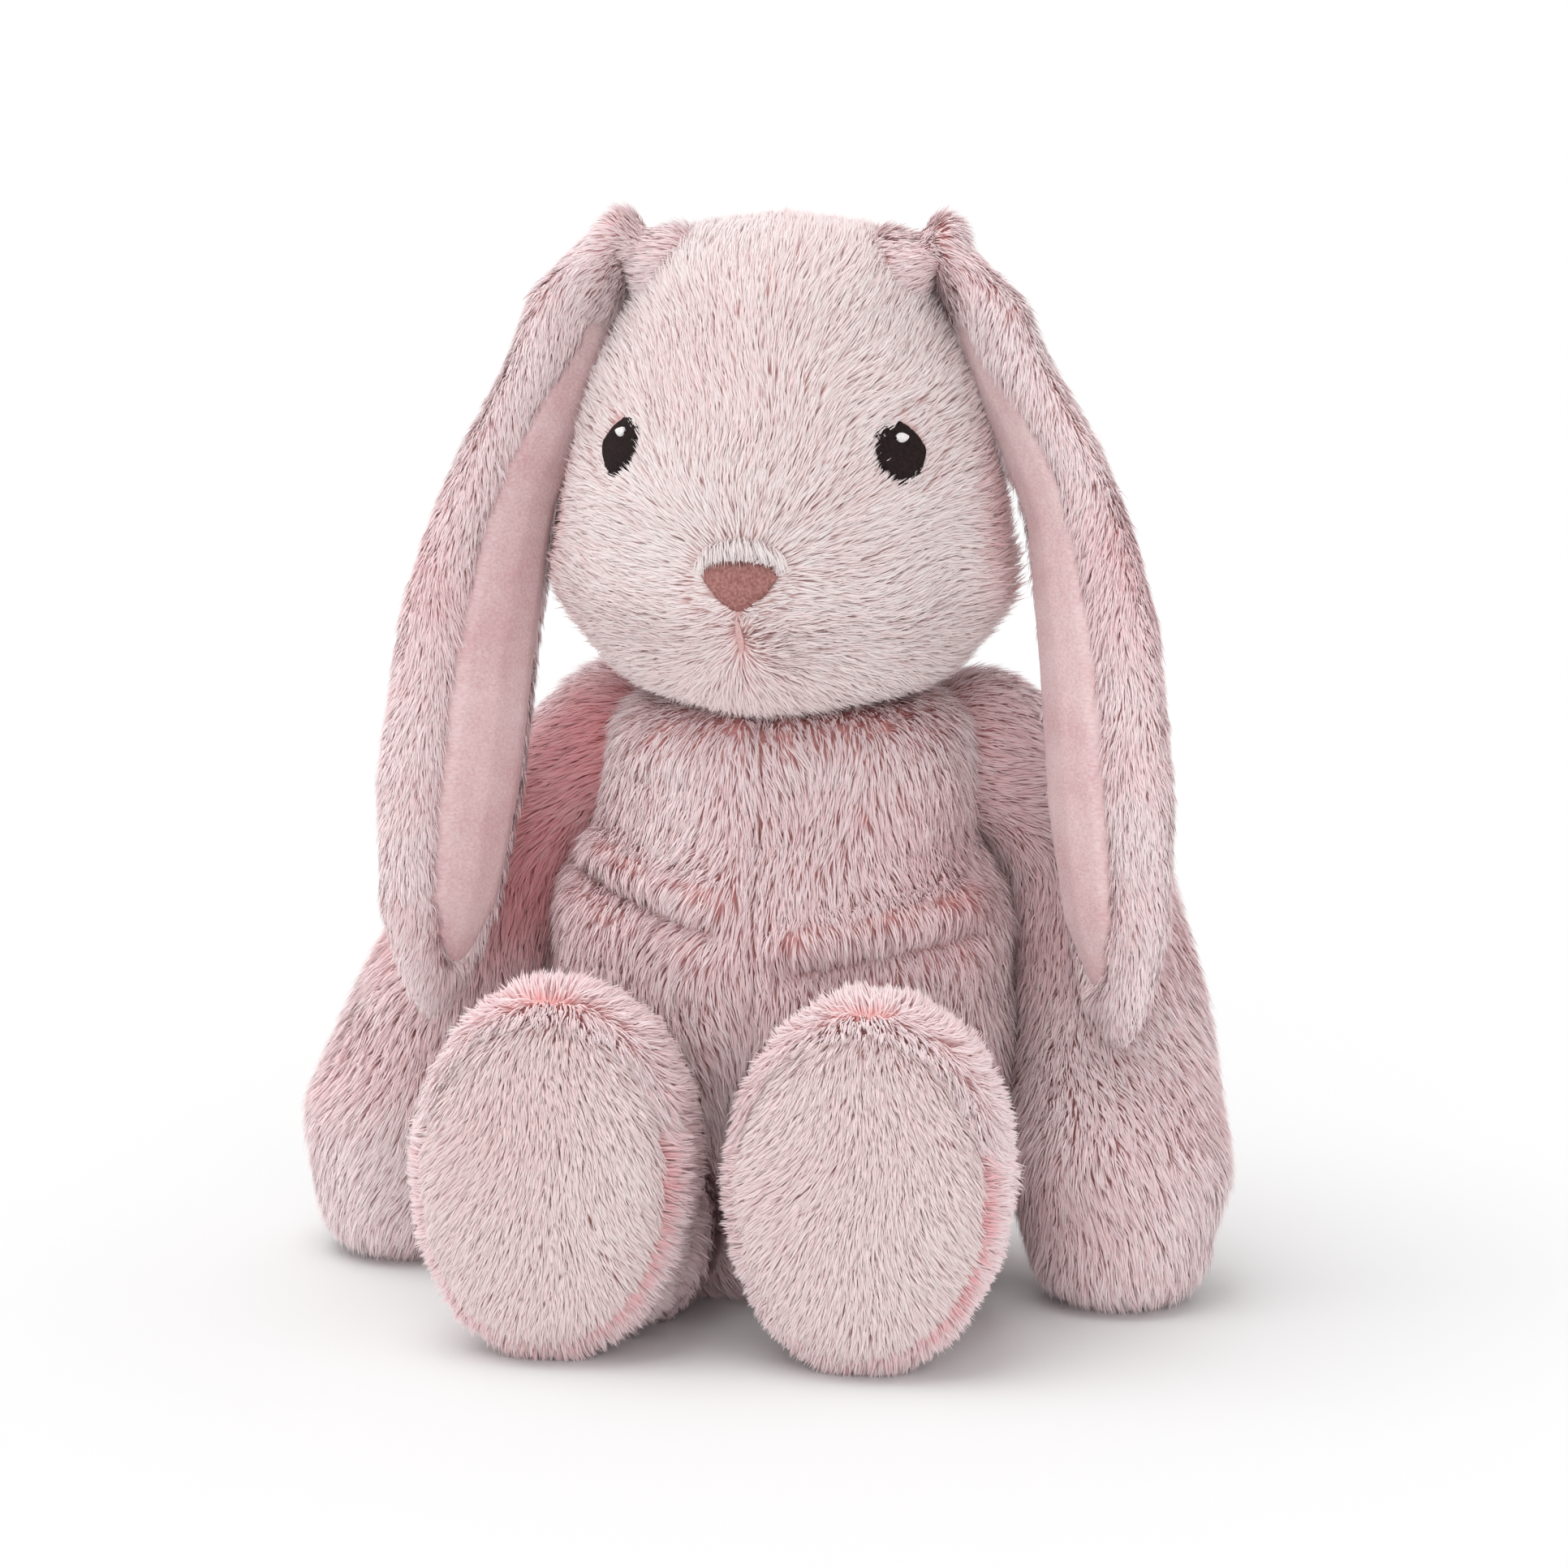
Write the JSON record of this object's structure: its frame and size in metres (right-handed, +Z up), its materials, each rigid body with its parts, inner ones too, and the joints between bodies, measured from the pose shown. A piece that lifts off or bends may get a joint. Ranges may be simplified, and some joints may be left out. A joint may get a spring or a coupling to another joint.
{
  "type": "stuffed bunny rabbit",
  "caption": "Sitting plush bunny in pale pink long-pile fabric, with hanging velvet-lined ears, embroidered eyes and nose, drop-shaped paws and big soled feet.",
  "frame": {"origin": "middle of the flat seat under the body, on the floor", "axes": "+Z up, -Y the way the bunny faces, +X towards its own left side"},
  "size_m": [0.2698, 0.2015, 0.309],
  "materials": {
    "plush": "long pile plush",
    "sole_plush": "long pile plush, paler",
    "velvet": "short velvety pile",
    "eye_thread": "satin embroidery thread",
    "white_thread": "satin embroidery thread",
    "nose_thread": "satin embroidery thread",
    "fibre_fill": "loose polyester fibre",
    "pellets": "bag of small pellets"
  },
  "bodies": {
    "torso": {"body_cover": "plush", "body_stuffing": "fibre_fill", "seat_pellet_bag": "pellets", "tail_cover": "plush", "tail_stuffing": "fibre_fill"},
    "neck": {"neck_stuffing": "fibre_fill"},
    "head": {"head_cover": "plush", "head_stuffing": "fibre_fill", "eye_left": "eye_thread", "eye_right": "eye_thread", "eye_glint_left": "white_thread", "eye_glint_right": "white_thread", "nose": "nose_thread", "mouth_stitch": "nose_thread"},
    "ear_left": {"ear_outer_left": "plush", "ear_lining_left": "velvet"},
    "arm_left": {"arm_cover_left": "plush", "arm_stuffing_left": "fibre_fill"},
    "leg_left": {"leg_cover_left": "plush", "leg_stuffing_left": "fibre_fill", "foot_sole_left": "sole_plush"},
    "ear_right": {"ear_outer_right": "plush", "ear_lining_right": "velvet"},
    "arm_right": {"arm_cover_right": "plush", "arm_stuffing_right": "fibre_fill"},
    "leg_right": {"leg_cover_right": "plush", "leg_stuffing_right": "fibre_fill", "foot_sole_right": "sole_plush"}
  },
  "joints": [
    {"name": "head_turn", "type": "hinge", "parent": "torso", "child": "neck", "pos_m": [0, 0.004, 0.172], "axis": [0, 0, 1], "range_deg": [-4, 4], "stiffness_Nm_per_rad": 0.5},
    {"name": "head_nod", "type": "hinge", "parent": "neck", "child": "head", "pos_m": [0, 0.004, 0.172], "axis": [1, 0, 0], "range_deg": [-6, 3], "stiffness_Nm_per_rad": 1.2},
    {"name": "ear_lift_left", "type": "hinge", "parent": "head", "child": "ear_left", "pos_m": [0.034, -0.002, 0.298], "axis": [0, -1, 0], "range_deg": [0, 70]},
    {"name": "arm_lift_left", "type": "hinge", "parent": "torso", "child": "arm_left", "pos_m": [0.053, 0.02, 0.154], "axis": [0, -1, 0], "range_deg": [0, 75]},
    {"name": "leg_lift_left", "type": "hinge", "parent": "torso", "child": "leg_left", "pos_m": [0.04, -0.056, 0.0285], "axis": [-1, 0, 0], "range_deg": [0, 18]},
    {"name": "ear_lift_right", "type": "hinge", "parent": "head", "child": "ear_right", "pos_m": [-0.034, -0.002, 0.298], "axis": [0, 1, 0], "range_deg": [0, 70]},
    {"name": "arm_lift_right", "type": "hinge", "parent": "torso", "child": "arm_right", "pos_m": [-0.053, 0.02, 0.154], "axis": [0, 1, 0], "range_deg": [0, 75]},
    {"name": "leg_lift_right", "type": "hinge", "parent": "torso", "child": "leg_right", "pos_m": [-0.04, -0.056, 0.0285], "axis": [-1, 0, 0], "range_deg": [0, 18]}
  ]
}
